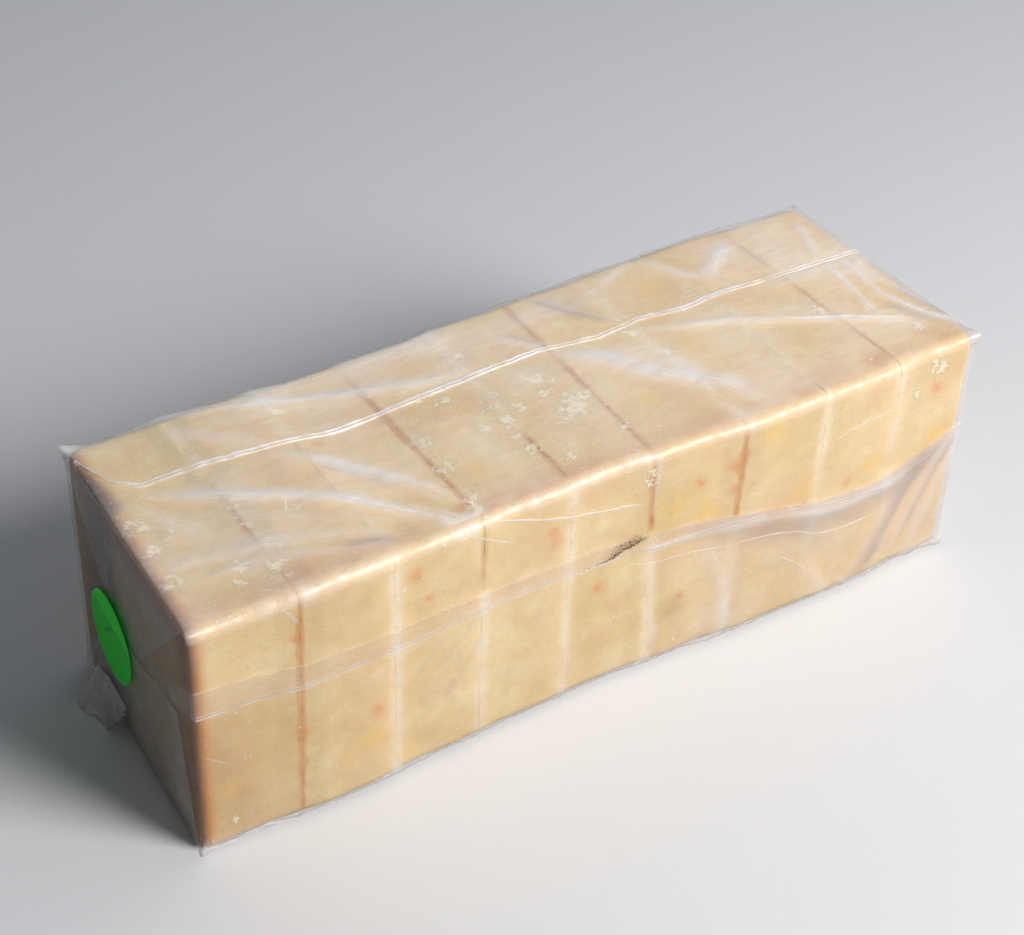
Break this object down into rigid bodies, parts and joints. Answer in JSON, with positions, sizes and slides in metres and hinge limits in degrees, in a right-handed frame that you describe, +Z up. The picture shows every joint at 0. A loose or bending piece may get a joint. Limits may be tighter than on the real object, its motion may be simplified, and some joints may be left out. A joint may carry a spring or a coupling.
{
  "type": "wrapped soap loaf",
  "caption": "Long loaf of soap cut into cakes that stand side by side, wrapped in clear film with folded ends and a round paper label on one end.",
  "frame": {"origin": "on the surface that the loaf rests on, under the middle of the loaf", "axes": "+X along the loaf towards the end without a label, -Y towards the front with the lap of the film, +Z up"},
  "size_m": [0.2378, 0.0821, 0.076],
  "materials": {
    "soap": "waxy, pale tan soap with a slight sheen",
    "film": "thin clear glossy film",
    "label": "green coated paper"
  },
  "bodies": {
    "root": {"soap_cake_1": "soap", "soap_cake_2": "soap", "soap_cake_3": "soap", "soap_cake_4": "soap", "soap_cake_5": "soap", "soap_cake_6": "soap", "soap_cake_7": "soap", "soap_cake_8": "soap", "soap_cake_9": "soap", "film_wrap": "film", "round_label": "label"}
  },
  "joints": []
}
